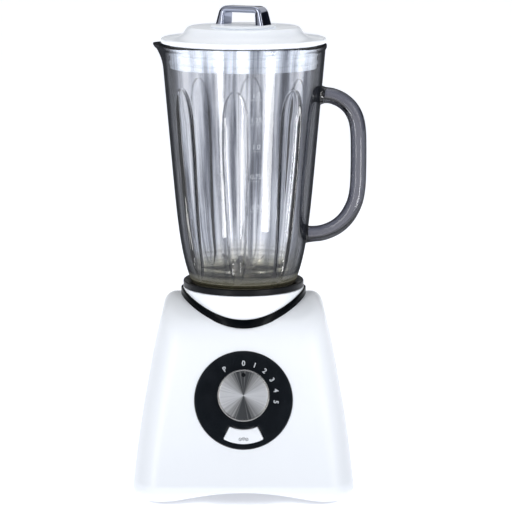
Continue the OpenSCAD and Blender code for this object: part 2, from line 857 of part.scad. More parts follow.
module blade_arm(reach, bend, start) {
    difference() {
        union() {
            translate([0, -blade_w / 2, 0]) cube([start, blade_w, blade_t]);
            translate([start, 0, 0]) rotate([0, -bend, 0]) linear_extrude(blade_t)
                polygon([[-0.2, -blade_w / 2], [(reach - start) / cos(bend), -blade_w / 5],
                    [(reach - start) / cos(bend), 0], [-0.2, blade_w / 2]]);
        }
        translate([0, 0, -1]) cylinder(h = 5, r = blade_shaft_r);
    }
}

module lower_blade() {
    color("silver") rotate([0, 0, 70]) translate([0, 0, lower_blade_z])
        for (s = [0, 180]) rotate([0, 0, s]) blade_arm(lower_blade_r, lower_dip, 9);
}

module upper_blade() {
    color("silver") rotate([0, 0, -8]) translate([0, 0, upper_blade_z])
        for (s = [0, 180]) rotate([0, 0, s]) blade_arm(upper_blade_r, upper_rise, 8);
}

module blade_washer() {
    color("silver") {
        ring(7, blade_shaft_r, hub_top + 0.4, lower_blade_z);
        ring(6.2, blade_shaft_r, upper_blade_z + blade_t, upper_blade_z + blade_t + 1);
    }
}

module blade_nut() {
    color("silver") translate([0, 0, upper_blade_z + blade_t + 1]) difference() {
        union() {
            cylinder(h = 4, r = 6, $fn = 6);
            translate([0, 0, 3]) cylinder(h = 4, r1 = 5, r2 = 3);
        }
        translate([0, 0, -1]) cylinder(h = 5, r = blade_shaft_r);
    }
}

module lid() {
    edge_z = lid_z + lid_t;
    top_z = edge_z + lid_rise;
    under_z = top_z - lid_wall;
    skirt_in_r = lid_skirt_r - lid_wall;
    color("white") rotate_extrude() polygon([
        [filler_r, under_z - 3], [filler_r + 2.5, under_z - 3], [filler_r + 2.5, under_z - 1],
        [plateau_r - 2, under_z - 1], [skirt_in_r - 8, edge_z - lid_wall + 1],
        [skirt_in_r, lid_z - 2], [skirt_in_r, lid_skirt_z], [lid_skirt_r, lid_skirt_z],
        [lid_skirt_r, lid_z], [lid_r, lid_z], [lid_r + 0.2, lid_z + 1], [lid_r, edge_z - 0.5],
        [lid_r - 1.5, edge_z], [lid_r - 4, edge_z], [lid_r - 5, edge_z - 1],
        [lid_r - 12, edge_z - 0.6], [plateau_r + 8, edge_z + 0.8], [plateau_r + 4, edge_z + 3],
        [plateau_r + 2, top_z - 3], [plateau_r, top_z - 0.6], [plateau_r - 2, top_z],
        [plateau_r - 5, top_z - 0.6], [filler_r + 1, top_z - 1], [filler_r, top_z - 1.5]]);
}

module lid_seal() {
    lip_r = jar_r(lid_skirt_z + 5) - glass_wall - 0.415;
    color("lightgray") for (i = [0, 1]) translate([0, 0, lid_skirt_z + 5 + i * 7]) rotate_extrude()
        polygon([[lid_skirt_r + 0.01, -1.5], [lip_r, -0.2], [lip_r, 0.2], [lid_skirt_r + 0.01, 1.5]]);
}

module filler_cap() {
    cup_h = cap_flange_z - cap_low_z;
    color("white") difference() {
        union() {
            translate([0, 0, cap_low_z]) cylinder(h = cup_h, r = filler_r - gap);
            translate([0, 0, cap_flange_z]) cylinder(h = cap_flange_t, r = cap_flange_r);
        }
        translate([0, 0, cap_low_z - 1]) cylinder(h = cup_h, r = filler_r - gap - cap_wall);
    }
}

module cap_handle() {
    handle_z = cap_flange_z + cap_flange_t;
    window_w = cap_handle_w - 2 * strap_t;
    window_h = cap_handle_h - strap_t;
    color("silver") rotate([0, 0, cap_turn]) translate([0, strap_d / 2, handle_z]) rotate([90, 0, 0])
        linear_extrude(strap_d) difference() {
            union() {
                intersection() {
                    translate([0, cap_handle_h - strap_corner - 0.2])
                        rounded_plan(cap_handle_w, 2 * strap_corner + 0.4, strap_corner);
                    translate([-cap_handle_w / 2, 0]) square([cap_handle_w, cap_handle_h]);
                }
                translate([-cap_handle_w / 2, 0]) square([cap_handle_w, cap_handle_h - strap_corner]);
            }
            translate([0, window_h / 2 - 3]) rounded_plan(window_w, window_h + 6, 3);
        }
}

body_shell();
base_plate();
foot();
base_screw();
collar();
collar_trim();
collar_screw();
motor_plate();
motor_damper();
lower_bracket();
stator();
field_coil();
motor_screw();
upper_bearing();
lower_bearing();
brush_holder();
brush();
armature();
armature_coil();
commutator();
motor_shaft();
fan();
drive_coupling();
circuit_board();
cord_gland();
control_disc();
control_screw();
rotary_switch();
button_switch();
switch_shaft();
dial_body();
dial_face();
dial_mark();
ice_button();
button_spring();
jar_glass();
jar_handle();
jar_base();
jar_gasket();
blade_holder();
blade_bush();
blade_shaft();
lower_blade();
upper_blade();
blade_washer();
blade_nut();
driven_coupling();
lid();
lid_seal();
filler_cap();
cap_handle();
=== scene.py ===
import math
import bpy
import numpy as np
from mathutils import Matrix, Vector


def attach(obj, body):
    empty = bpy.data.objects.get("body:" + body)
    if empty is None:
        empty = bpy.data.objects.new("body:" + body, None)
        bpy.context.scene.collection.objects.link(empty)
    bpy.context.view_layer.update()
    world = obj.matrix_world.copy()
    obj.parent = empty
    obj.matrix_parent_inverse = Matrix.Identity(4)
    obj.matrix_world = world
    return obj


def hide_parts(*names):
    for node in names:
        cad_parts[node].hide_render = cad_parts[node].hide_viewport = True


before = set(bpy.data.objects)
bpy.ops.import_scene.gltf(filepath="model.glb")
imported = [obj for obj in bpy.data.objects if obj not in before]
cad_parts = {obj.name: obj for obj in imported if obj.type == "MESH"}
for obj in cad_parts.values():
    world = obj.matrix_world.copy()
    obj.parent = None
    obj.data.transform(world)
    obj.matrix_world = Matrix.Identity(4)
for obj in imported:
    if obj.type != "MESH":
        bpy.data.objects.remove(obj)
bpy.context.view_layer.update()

MM = 0.001
FLAT = 30          # degrees: edges sharper than this stay crisp

# ---------------------------------------------------------------- camera
DISTANCE = 2.0                     # from the object, metres
RISE = math.radians(10)            # camera above level
AIM = Vector((0, 0, 0.2))
scene = bpy.context.scene
eye = bpy.data.cameras.new("eye")
eye.lens, eye.sensor_width = 164.5, 36
eye.shift_x, eye.shift_y = 0.0244, -0.0082
camera = bpy.data.objects.new("camera", eye)
camera.location = AIM + DISTANCE * Vector((0, -math.cos(RISE), math.sin(RISE)))
camera.rotation_euler = (math.pi / 2 - RISE, 0, 0)
scene.collection.objects.link(camera)
scene.camera = camera
scene.view_settings.view_transform = "Standard"


# ---------------------------------------------------------------- materials
def rgb(hex_colour):
    """sRGB hex to linear colour with alpha."""
    parts = [int(hex_colour[i:i + 2], 16) / 255 for i in (1, 3, 5)]
    linear = [p / 12.92 if p <= 0.04045 else ((p + 0.055) / 1.055) ** 2.4 for p in parts]
    return (*linear, 1)


def add(tree, kind, settings=None, **links):
    """Adds a node: settings are attributes or unlinked inputs, links are inputs fed by sockets."""
    n = tree.nodes.new(kind)
    for key, value in (settings or {}).items():
        if isinstance(key, str) and hasattr(n, key):
            setattr(n, key, value)
        else:
            n.inputs[key].default_value = value
    for key, socket in links.items():
        numbered = key[0] == "i" and key[1:].isdigit()
        tree.links.new(socket, n.inputs[int(key[1:]) if numbered else key.replace("_", " ")])
    return n


def finish(name, base, roughness, **shader):
    """A new material; returns it with its node tree, shader node and object coordinates."""
    m = bpy.data.materials.new(name)
    m.use_nodes = True
    t = m.node_tree
    p = t.nodes["Principled BSDF"]
    p.inputs["Base Color"].default_value = rgb(base)
    p.inputs["Roughness"].default_value = roughness
    for key, value in shader.items():
        p.inputs[key.replace("_", " ")].default_value = value
    return m, t, p, add(t, "ShaderNodeTexCoord").outputs["Object"]


def mapped(t, value, low, high, to_low=0.0, to_high=1.0, **more):
    """Maps a number from one range to another, held at the ends."""
    ends = {"From Min": low, "From Max": high, "To Min": to_low, "To Max": to_high}
    return add(t, "ShaderNodeMapRange", {**more, **ends}, Value=value).outputs[0]


def noise(t, where, size_mm, detail):
    """Soft noise of the given size."""
    n = add(t, "ShaderNodeTexNoise", {"Scale": 1000 / size_mm, "Detail": detail}, Vector=where)
    return n.outputs[0]


def vary(t, p, where, size_mm, low, high, detail=2.0, reach=(0.3, 0.7)):
    """Varies the roughness with soft noise; returns the noise."""
    n = noise(t, where, size_mm, detail)
    t.links.new(mapped(t, n, *reach, low, high), p.inputs["Roughness"])
    return n


def tint(t, p, amount, hex_a, hex_b):
    """Colour that drifts between two shades."""
    mix = add(t, "ShaderNodeMix", {"data_type": "RGBA"}, Factor=amount)
    mix.inputs[6].default_value, mix.inputs[7].default_value = rgb(hex_a), rgb(hex_b)
    t.links.new(mix.outputs[2], p.inputs["Base Color"])


def ramp(tree, socket, stops):
    """Colour over a number, as (position, hex) stops; the first two are the ends."""
    r = add(tree, "ShaderNodeValToRGB", i0=socket)
    e = r.color_ramp.elements
    for k, (position, colour) in enumerate(stops):
        spot = e[k] if k < 2 else e.new(position)
        spot.position, spot.color = position, rgb(colour)
    return r.outputs[0]


def times(tree, a, b):
    """Product of two colours."""
    full = {"data_type": "RGBA", "blend_type": "MULTIPLY", 0: 1.0}
    return add(tree, "ShaderNodeMix", full, i6=a, i7=b).outputs[2]


def raise_by(t, p, height, depth_mm, strength=1.0):
    """Relief of the given depth."""
    b = add(t, "ShaderNodeBump", {"Distance": depth_mm * MM, "Strength": strength}, Height=height)
    t.links.new(b.outputs[0], p.inputs["Normal"])


def white_abs():
    # injection moulded, high polish ABS: soft cool white, a clear but slightly wavy reflection
    m, t, p, where = finish("white_polished_abs", "#F3F6FA", 0.3, IOR=1.53)
    n = vary(t, p, where, 40, 0.27, 0.35, 1.0, (0.0, 1.0))
    tint(t, p, n, "#F4F7FB", "#F6F9FC")
    raise_by(t, p, noise(t, where, 9, 1.0), 0.02, 0.12)
    return m


def abs_with_painted_glow(name, skirt_painted_glow):
    # the same white plastic in a thinner wall, with a painted glow: emission stands in for light,
    # strong in the skirt, faint on the top
    m, t, p, where = finish(name, "#F3F6FA", 0.22, IOR=1.53, Emission_Color=rgb("#EEF5FF"))
    n = vary(t, p, where, 40, 0.18, 0.28, 1.0, (0.0, 1.0))
    tint(t, p, n, "#F1F5FA", "#F8FAFC")
    high = add(t, "ShaderNodeSeparateXYZ", i0=where)
    # painted glow: emission strength by height, the skirt's value below the rim and 0.12 above it
    painted_glow_level = mapped(t, high.outputs["Z"], 0.377, 0.3785, skirt_painted_glow, 0.12)
    t.links.new(painted_glow_level, p.inputs["Emission Strength"])
    return m


def black_gloss():
    # polished black styrene of the control disc: near mirror, faint handling haze
    m, t, p, where = finish("black_polished_styrene", "#0B0E12", 0.12, IOR=1.59)
    n = vary(t, p, where, 12, 0.1, 0.2)
    tint(t, p, n, "#0A0D10", "#11161B")
    return m


def black_satin():
    # fine spark-eroded polypropylene of the jar base: soft sheen broken by grain
    m, t, p, where = finish("black_grained_polypropylene", "#08090B", 0.36, IOR=1.49,
                            Specular_IOR_Level=0.14)
    n = vary(t, p, where, 7, 0.3, 0.44)
    tint(t, p, n, "#06070A", "#0B0E12")
    raise_by(t, p, noise(t, where, 0.6, 3.0), 0.03, 0.4)
    return m


def trim_black():
    # semi-gloss acrylic trim band, slate in the light
    m, t, p, where = finish("slate_black_trim", "#070A0E", 0.2, IOR=1.45, Specular_IOR_Level=0.06)
    n = vary(t, p, where, 9, 0.16, 0.24)
    tint(t, p, n, "#030507", "#070A0E")
    return m


def painted_edge_shade(t, stops):
    """Painted shade: colour darkened the more the surface is turned from the view, standing in for
    light lost on the long way through the glass.
    """
    return ramp(t, add(t, "ShaderNodeLayerWeight", {"Blend": 0.5}).outputs["Facing"], stops)


def absorb(t, density):
    """Faint violet-grey of the batch, per metre of glass."""
    body = add(t, "ShaderNodeVolumeAbsorption", {"Color": rgb("#8B8A97"), "Density": density})
    t.links.new(body.outputs[0], t.nodes["Material Output"].inputs["Volume"])


def painted_rim_shade(t, p, low, high, most, painted_shade_x=None):
    """Painted shade: a dark diffuse is mixed in where the surface is seen nearly edge on, so
    outlines go dark.
    """
    turned = add(t, "ShaderNodeLayerWeight", {"Blend": 0.5})
    share = mapped(t, turned.outputs["Facing"], low, high, 0.0, most,
                   interpolation_type="SMOOTHSTEP")
    if painted_shade_x is not None:
        # painted shade: the pouring lip and the far corner of the rim are darkened by their place
        # along x
        side = add(t, "ShaderNodeMath", {"operation": "ABSOLUTE"}, i0=painted_shade_x)
        painted_lip_shade = mapped(t, side.outputs[0], 0.066, 0.071, 0.0, 0.8)
        share = add(t, "ShaderNodeMath", {"operation": "MAXIMUM"}, i0=share, i1=painted_lip_shade).outputs[0]
    # painted shade: a flat dark colour mixed into the surface
    painted_dark_diffuse = add(t, "ShaderNodeBsdfDiffuse", {"Color": rgb("#1C1E22")})
    mix = add(t, "ShaderNodeMixShader", i0=share, i1=p.outputs[0], i2=painted_dark_diffuse.outputs[0])
    t.links.new(mix.outputs[0], t.nodes["Material Output"].inputs["Surface"])
    return mix.outputs[0]


def pressed_glass():
    # pressed soda-lime glass, 4 to 5 mm thick: painted shade where seen edge on, painted dark
    # streaks, painted dark lines along the flutes, olive foot with painted ring reflections
    m, t, p, where = finish("pressed_soda_lime_glass", "#FBFCFB", 0.0, IOR=1.52,
                            Transmission_Weight=1.0)
    raise_by(t, p, noise(t, where, 26, 1.5), 0.25, 0.25)
    # painted shade: the glass colour darkens as the surface turns from the view
    edge = painted_edge_shade(t, [(0.0, "#FFFFFF"), (1.0, "#16181D"), (0.42, "#F4F5F7"),
                       (0.6, "#A4A7AF"), (0.8, "#4C4F57")])
    # painted shade: random upright dark streaks in the glass colour stand in for the dark
    # surroundings seen through the walls
    flat = add(t, "ShaderNodeVectorMath", {"operation": "MULTIPLY", 1: (1, 1, 0)}, i0=where)
    unit = add(t, "ShaderNodeVectorMath", {"operation": "NORMALIZE"}, i0=flat.outputs[0])
    upright = add(t, "ShaderNodeVectorMath", {"operation": "MULTIPLY_ADD", 1: (0, 0, 0.7)},
                  i0=where, i2=unit.outputs[0])
    upright_noise = add(t, "ShaderNodeTexNoise", {"Scale": 6.5, "Detail": 4.0, "Roughness": 0.55},
                Vector=upright.outputs[0])
    painted_streak = ramp(t, upright_noise.outputs[0], [(0.36, "#72757E"), (0.56, "#FFFFFF"), (0.48, "#E2E4E8")])
    high = add(t, "ShaderNodeSeparateXYZ", i0=where)
    rise = mapped(t, high.outputs["Z"], 0.174, 0.204)
    foot = ramp(t, rise, [(0.0, "#BDB9A0"), (1.0, "#FFFFFF"), (0.35, "#CBC8B4"), (0.6, "#EEECE4")])
    # painted reflections: dark rings along the height of the foot
    rings = add(t, "ShaderNodeTexNoise", {"noise_dimensions": "1D", "Scale": 1000 / 3.2,
                                          "Detail": 3.0},
                W=high.outputs["Z"])
    painted_ring_reflections = ramp(t, rings.outputs[0], [(0.4, "#6A6653"), (0.56, "#FFFFFF")])
    clear = add(t, "ShaderNodeMix", {"data_type": "RGBA", 7: (1, 1, 1, 1)}, i0=rise, i6=painted_ring_reflections)
    # painted shade: dark lines along the flute edges, from the outline stored on the jar
    line = add(t, "ShaderNodeAttribute", {"attribute_name": "painted_flute_shade"})
    drawn = ramp(t, line.outputs["Fac"], [(0.0, "#FFFFFF"), (1.0, "#5A5D66")])
    body = times(t, times(t, edge, painted_streak), drawn)
    olive = times(t, foot, clear.outputs[2])
    t.links.new(times(t, body, olive), p.inputs["Base Color"])
    absorb(t, 30.0)
    # painted shade on the outlines, and by place along x on the lip and far corner
    wall = painted_rim_shade(t, p, 0.38, 0.76, 0.95, high.outputs["X"])
    # the foot is ground and half frosted where it seats
    seat = mapped(t, high.outputs["Z"], 0.186, 0.1755, 0.0, 0.5)
    ground = add(t, "ShaderNodeBsdfDiffuse", Color=olive)
    joined = add(t, "ShaderNodeMixShader", i0=seat, i1=wall, i2=ground.outputs[0])
    t.links.new(joined.outputs[0], t.nodes["Material Output"].inputs["Surface"])
    return m


def rod_glass():
    # solid glass of the handle, 13 mm thick: painted shade by view angle makes it light along the
    # middle and nearly black along its sides
    m, t, p, where = finish("solid_soda_lime_glass", "#FBFCFB", 0.0, IOR=1.52,
                            Transmission_Weight=1.0)
    raise_by(t, p, noise(t, where, 30, 1.0), 0.25, 0.3)
    # painted shade: the rod's colour darkens as its surface turns from the view
    edge = painted_edge_shade(t, [(0.0, "#FFFFFF"), (1.0, "#101216"), (0.1, "#D0D3DA"),
                       (0.28, "#8A8D97"), (0.6, "#3E4149")])
    t.links.new(edge, p.inputs["Base Color"])
    absorb(t, 190.0)
    painted_rim_shade(t, p, 0.25, 0.85, 0.85)
    return m


def chrome():
    # bright chrome on plastic: mirror with the faint blue of chromium
    m, t, p, where = finish("bright_chrome_plate", "#A3A8B8", 0.05, Metallic=1.0)
    vary(t, p, where, 10, 0.03, 0.09)
    return m


def spun_steel():
    # spun stainless face: its rings are drawn coarse so that they show; the bow-tie glint is a
    # painted highlight
    m, t, p, where = finish("spun_stainless_painted_glint", "#B9B6B2", 0.3, Metallic=1.0, Anisotropic=0.8)
    away = add(t, "ShaderNodeVectorMath", {"operation": "MULTIPLY", 1: (1, 1, 0)}, i0=where)
    reach = add(t, "ShaderNodeVectorMath", {"operation": "LENGTH"}, i0=away.outputs[0])
    rings = add(t, "ShaderNodeTexNoise", {"noise_dimensions": "1D", "Scale": 1000 / 0.45,
                                          "Detail": 4.0},
                W=reach.outputs["Value"])
    t.links.new(mapped(t, rings.outputs[0], 0.3, 0.7, 0.34, 0.46), p.inputs["Roughness"])
    # painted highlight: a tint by angle about the dial's own axis, bright left and right, dark
    # above and below, turning with the dial
    across = add(t, "ShaderNodeSeparateXYZ", i0=where)
    bearing = add(t, "ShaderNodeMath", {"operation": "ARCTAN2"},
                  i0=across.outputs["Y"], i1=across.outputs["X"])
    double = add(t, "ShaderNodeMath", {"operation": "MULTIPLY", 1: 2.0}, i0=bearing.outputs[0])
    fan = add(t, "ShaderNodeMath", {"operation": "COSINE"}, i0=double.outputs[0])
    grain = add(t, "ShaderNodeTexNoise", {"noise_dimensions": "1D", "Scale": 9.0, "Detail": 5.0},
                W=bearing.outputs[0])
    painted_glint = add(t, "ShaderNodeMath", {"operation": "MULTIPLY_ADD", 1: 1.1},
                i0=grain.outputs[0], i2=fan.outputs[0])
    # painted highlight: the glint goes into the base colour
    tint(t, p, mapped(t, painted_glint.outputs[0], -0.35, 1.5), "#4A4C4F", "#FFFFFF")
    raise_by(t, p, rings.outputs[0], 0.01, 0.3)
    turn = add(t, "ShaderNodeTangent", {"direction_type": "RADIAL", "axis": "Z"})
    t.links.new(turn.outputs[0], p.inputs["Tangent"])
    return m


def metal(name, dark, light, roughness, grit_mm, stretch=(1, 1, 1), depth=0.01):
    """Worked metal: a grit pattern, stretched along the way it was rubbed."""
    m, t, p, where = finish(name, light, roughness, Metallic=1.0)
    rub = add(t, "ShaderNodeMapping", {"Scale": stretch}, Vector=where)
    n = vary(t, p, rub.outputs[0], grit_mm, roughness - 0.06, roughness + 0.08, 4.0)
    tint(t, p, n, dark, light)
    raise_by(t, p, n, depth, 0.5)
    return m


def moulding(name, dark, light, roughness, grain_mm, depth=0.03, **shader):
    """Moulded or pressed non-metal with a fine grain."""
    m, t, p, where = finish(name, light, roughness, **shader)
    n = vary(t, p, where, grain_mm, roughness - 0.06, roughness + 0.07, 3.0)
    tint(t, p, n, dark, light)
    raise_by(t, p, n, depth, 0.4)
    return m


def layered(name, dark, light, step_mm, metallic, roughness):
    """Stacked sheets or wound wire: fine lines one step apart."""
    m, t, p, where = finish(name, light, roughness, Metallic=metallic)
    look = {"bands_direction": "Z", "Scale": 1000 / step_mm / 20 * math.pi, "Distortion": 0.4}
    lines = add(t, "ShaderNodeTexWave", look, Vector=where)
    tint(t, p, lines.outputs["Fac"], dark, light)
    raise_by(t, p, lines.outputs["Fac"], 0.15, 0.6)
    vary(t, p, where, 3, roughness - 0.05, roughness + 0.1)
    return m


# painted glow: emission 0.8 in the lid's skirt, 0.12 over the rest of the lid and all of the cap
LID_WHITE, CAP_WHITE = abs_with_painted_glow("white_abs_painted_glow", 0.8), abs_with_painted_glow("white_cap_abs_painted_glow", 0.12)
WHITE, GLOSS, SATIN, TRIM = white_abs(), black_gloss(), black_satin(), trim_black()
GLASS, ROD = pressed_glass(), rod_glass()
CHROME, SPUN = chrome(), spun_steel()
STEEL = metal("ground_stainless_steel", "#A5A39F", "#CFCDC9", 0.24, 0.5, (1, 8, 8))
TURNED = metal("turned_steel", "#9C9C9C", "#C4C4C4", 0.28, 0.4, (1, 1, 6))
ZINC = metal("zinc_plated_steel", "#9AA0A3", "#BFC4C6", 0.36, 1.5)
BRONZE = metal("sintered_bronze", "#8A6236", "#B98B52", 0.45, 0.3)
CARBON = moulding("pressed_carbon", "#141416", "#232326", 0.55, 0.5)
RUBBER = moulding("moulded_rubber", "#0E0E0F", "#1B1B1C", 0.62, 0.8, IOR=1.52)
SILICONE = moulding("translucent_silicone", "#C9CED0", "#DDE1E2", 0.42, 2.0, IOR=1.41,
                    Transmission_Weight=0.35)
# painted glow: the seal's emission stands in for light, it is no lamp
SEAL = moulding("white_seal_painted_glow", "#E9EDF2", "#F4F7FA", 0.42, 2.0, IOR=1.41,
                Emission_Color=rgb("#EEF5FF"), Emission_Strength=0.75)
GREY = moulding("grey_moulded_plastic", "#4A4D50", "#5A5E61", 0.5, 0.7)
PHENOLIC = moulding("brown_phenolic", "#3B2717", "#5A3E26", 0.48, 1.2)
BOARD = moulding("green_board_laminate", "#0E3A22", "#17512F", 0.35, 1.0)
STACK = layered("stacked_silicon_steel", "#2E2F33", "#55575C", 0.9, 0.7, 0.42)
WIRE = layered("enamelled_copper_wire", "#7A3416", "#B8622F", 0.8, 0.6, 0.32)
SEGMENTS = metal("hard_copper_segments", "#8F4D2A", "#C77B4B", 0.3, 0.6, (1, 1, 5))
PRINT = moulding("white_pad_print", "#C9CED3", "#E3E7EA", 0.5, 0.5, 0.01)
FROST = moulding("frosted_scale_print", "#C9CED4", "#DCE0E4", 0.6, 0.6, 0.01, Alpha=0.3)
INK = moulding("grey_ink", "#151B24", "#222A36", 0.55, 0.5, 0.01)

HIDDEN = {
    ZINC: ["base_screw", "collar_screw", "motor_plate", "lower_bracket", "motor_screw",
           "control_screw"],
    GREY: ["base_plate", "fan"],
    RUBBER: ["foot", "motor_damper", "drive_coupling", "cord_gland"],
    STACK: ["stator", "armature"], WIRE: ["field_coil", "armature_coil"], SEGMENTS: ["commutator"],
    TURNED: ["upper_bearing", "lower_bearing", "motor_shaft", "switch_shaft", "blade_shaft",
             "button_spring"],
    BRONZE: ["brush_holder", "blade_bush"], CARBON: ["brush"],
    PHENOLIC: ["rotary_switch", "button_switch"], BOARD: ["circuit_board"],
    SILICONE: ["jar_gasket"], SEAL: ["lid_seal"], SATIN: ["driven_coupling"],
}
for material, names in HIDDEN.items():
    for name in names:
        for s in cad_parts[name].material_slots:
            s.material = material


# ---------------------------------------------------------------- mesh makers, in millimetres
def build(name, points, faces, material, body, node=None, slot=None, place=None, sharp=FLAT):
    """A piece that rides on a body and may stand for a node; edges above `sharp` stay crisp."""
    mesh = bpy.data.meshes.new(name)
    mesh.from_pydata([tuple(float(c) * MM for c in p) for p in points], [],
                     [tuple(f) for f in faces])
    mesh.validate()
    mesh.polygons.foreach_set("use_smooth", [True] * len(mesh.polygons))
    mesh.materials.append(material)
    mesh.update()
    mesh.set_sharp_from_angle(angle=math.radians(sharp))
    o = bpy.data.objects.new(name, mesh)
    scene.collection.objects.link(o)
    if place is not None:
        o.matrix_world = place
    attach(o, body)
    if node:
        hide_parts(*([node] if isinstance(node, str) else node))
    return o


def skin(rows, columns, closed_u=True, closed_v=False, flip=False):
    """Quads over a grid of rows x columns points."""
    faces = []
    for i in range(rows if closed_v else rows - 1):
        for j in range(columns if closed_u else columns - 1):
            a, b = i * columns + j, i * columns + (j + 1) % columns
            below = ((i + 1) % rows) * columns
            c, d = below + (j + 1) % columns, below + j
            faces.append((d, c, b, a) if flip else (a, b, c, d))
    return faces


def softened(corners, steps=5, closed=True):
    """Rounds each corner (u, v, radius) of an outline."""
    out, n = [], len(corners)
    for i, (u, v, r) in enumerate(corners):
        here = Vector((u, v))
        if r <= 0 or (not closed and i in (0, n - 1)):
            out.append((u, v))
            continue
        before, after = Vector(corners[i - 1][:2]) - here, Vector(corners[(i + 1) % n][:2]) - here
        r = min(r, before.length * 0.49, after.length * 0.49)
        a, b = here + before.normalized() * r, here + after.normalized() * r
        for k in range(steps + 1):
            s = k / steps
            out.append(tuple((1 - s) ** 2 * a + 2 * s * (1 - s) * here + s * s * b))
    return out


def lathe(name, outline, material, body, node=None, slot=None, around=192, closed=True, place=None,
          sharp=FLAT):
    """Turns an outline of (radius, height, corner radius) about the upright axis."""
    line = softened(outline, closed=closed)
    angles = np.arange(around) * 2 * math.pi / around
    points = [(r * math.cos(a), r * math.sin(a), z) for r, z in line for a in angles]
    area = sum(a[0] * b[1] - b[0] * a[1] for a, b in zip(line, line[1:] + line[:1]))
    faces = skin(len(line), around, True, closed, area < 0)
    return build(name, points, faces, material, body, node, slot, place, sharp)


def slab(name, outline, low, high, edge, material, body, node=None, slot=None, place=None):
    """A plate with a rounded top edge over a flat outline given anticlockwise."""
    ring = np.array(outline)
    n = len(ring)
    ahead, back = np.roll(ring, -1, 0) - ring, ring - np.roll(ring, 1, 0)
    normal = np.stack([(ahead + back)[:, 1], -(ahead + back)[:, 0]], 1)
    normal /= np.linalg.norm(normal, axis=1)[:, None]
    points, steps = [], 5
    levels = [(0, low)]
    for k in range(steps + 1):
        a = k / steps * math.pi / 2
        levels.append((edge * (1 - math.cos(a)), high - edge * (1 - math.sin(a))))
    for inset, z in levels:
        points += [(x, y, z) for x, y in ring - normal * inset]
    last = (len(levels) - 1) * n
    faces = skin(len(levels), n) + [tuple(range(n))[::-1], tuple(range(last, last + n))]
    return build(name, points, faces, material, body, node, slot, place)


def tube(name, path, radii, material, body, sides=48, **kw):
    """A rod along a path of points with a radius at each."""
    path = [Vector(p) for p in path]
    side = (path[-1] - path[0]).cross(path[len(path) // 2] - path[0]).normalized()
    points = []
    for i, p in enumerate(path):
        along = (path[min(i + 1, len(path) - 1)] - path[max(i - 1, 0)]).normalized()
        across = side.cross(along).normalized()
        up = along.cross(across)
        for k in range(sides):
            a = 2 * math.pi * k / sides
            points.append(tuple(p + (across * math.cos(a) + up * math.sin(a)) * radii[i]))
    faces = skin(len(path), sides)
    faces += [tuple(range(sides))[::-1], tuple(range((len(path) - 1) * sides, len(path) * sides))]
    return build(name, points, faces, material, body, **kw)


def flat_text(words, size, at, turn, name, material, body, slot, place, thick=0.04, bend=None):
    """Generic figures as a thin mesh: size is the height of a figure."""
    curve = bpy.data.curves.new(name, "FONT")
    figure_share = 0.7                 # height of a figure over the type size
    curve.body, curve.size, curve.extrude, curve.offset = words, size / figure_share, thick, 0.1
    curve.align_x, curve.align_y = "CENTER", "CENTER"
    o = bpy.data.objects.new(name, curve)
    scene.collection.objects.link(o)
    bpy.context.view_layer.update()
    shape = o.evaluated_get(bpy.context.evaluated_depsgraph_get()).to_mesh()
    c, s = math.cos(turn), math.sin(turn)
    flat = [v.co for v in shape.vertices]
    points = [(at[0] + p.x * c - p.y * s, at[1] + p.x * s + p.y * c, at[2] + p.z) for p in flat]
    faces = [tuple(f.vertices) for f in shape.polygons]
    bpy.data.objects.remove(o)
    if bend:
        points = [bend(*p) for p in points]
    return build(name, points, faces, material, body, slot=slot, place=place)


# ---------------------------------------------------------------- motor base
TILT = math.radians(16)
PANEL = (Matrix.Translation(Vector((0, -71.4, 87)) * MM)
         @ Matrix.Rotation(math.pi / 2 - TILT, 4, "X"))
ARCH_R, ARCH_Z, SHELL_TOP = 80.0, 85.0, 165.0
COLLAR_R, COLLAR_Z = 51.6, 171.0


def rounder(a, b, r):
    return np.minimum(np.maximum(a, b), -r) + np.hypot(np.maximum(a + r, 0), np.maximum(b + r, 0))


def shell_gap(x, y, z):
    """Below zero inside the base, above zero outside."""
    t = (z - 20) / 137
    side = np.minimum(92 - 24.5 * t + 10.4 * t * (1 - t), 92.8)
    front = np.minimum(71.4 + (87 - z) * math.tan(TILT), 91.4)
    f = rounder(np.abs(x) - side, (np.abs(y) - front) * math.cos(TILT), 24)
    arch = np.where(z > ARCH_Z, np.hypot(y, z - ARCH_Z) - ARCH_R, -ARCH_R)
    f = rounder(f, arch, 8)
    f = rounder(f, 2.5 - z, 11)
    for u in (x, y):
        f = rounder(f, 195 - np.hypot(u, z + 183), 2)
    return f


def root(inside, outside, f, steps=40):
    for _ in range(steps):
        mid = (inside + outside) / 2
        out = f(mid) > 0
        outside, inside = np.where(out, mid, outside), np.where(out, inside, mid)
    return (inside + outside) / 2


